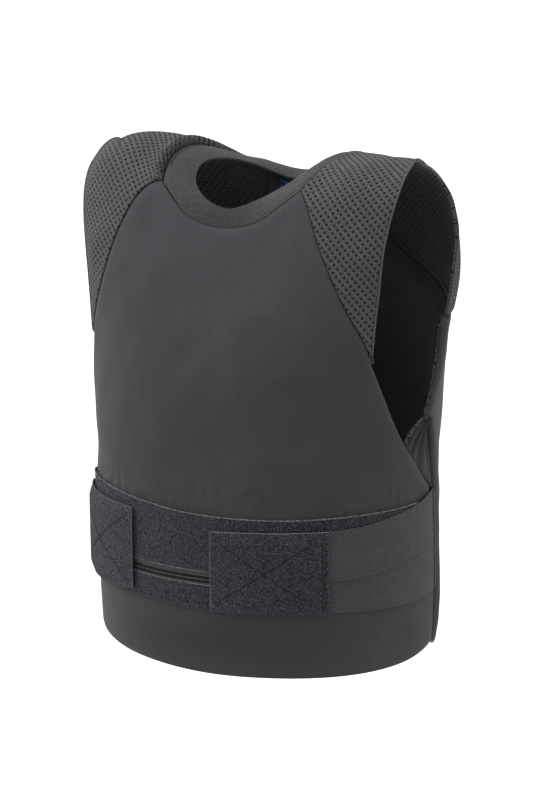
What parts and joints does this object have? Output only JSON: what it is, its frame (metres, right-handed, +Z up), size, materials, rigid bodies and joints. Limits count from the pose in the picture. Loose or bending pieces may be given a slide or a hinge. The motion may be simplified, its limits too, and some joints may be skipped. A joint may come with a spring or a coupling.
{
  "type": "stab vest",
  "caption": "Covert stab vest: padded front and back panels, mesh shoulders, rib collar and elastic side straps that close on loop tape across the belly.",
  "frame": {"origin": "middle of the shoulder line, level with the top of the straps, where the vest hangs on the wearer's shoulders", "axes": "+Z up, -Y towards the vest's front, +X towards the wearer's left"},
  "size_m": [0.418, 0.2869, 0.5595],
  "materials": {
    "cover_cloth": "smooth microfibre",
    "spacer_mesh": "open spacer mesh",
    "rib_knit": "rib knit",
    "lining_mesh": "soft knit",
    "loop_tape": "brushed loop",
    "hook_tab": "brushed loop",
    "elastic": "woven elastic",
    "label": "satin tape"
  },
  "bodies": {
    "root": {"front_panel": "cover_cloth", "back_panel": "cover_cloth", "shoulder_mesh_left": "spacer_mesh", "shoulder_mesh_right": "spacer_mesh", "neck_rib": "rib_knit", "back_lining": "lining_mesh", "neck_label": "label", "side_wing_left": "cover_cloth", "side_wing_right": "cover_cloth", "loop_strip_upper": "loop_tape", "loop_strip_lower": "loop_tape", "elastic_upper_left": "elastic", "elastic_lower_left": "elastic", "elastic_upper_right": "elastic", "elastic_lower_right": "elastic", "hook_tab_left": "hook_tab", "hook_tab_right": "hook_tab"}
  },
  "joints": []
}
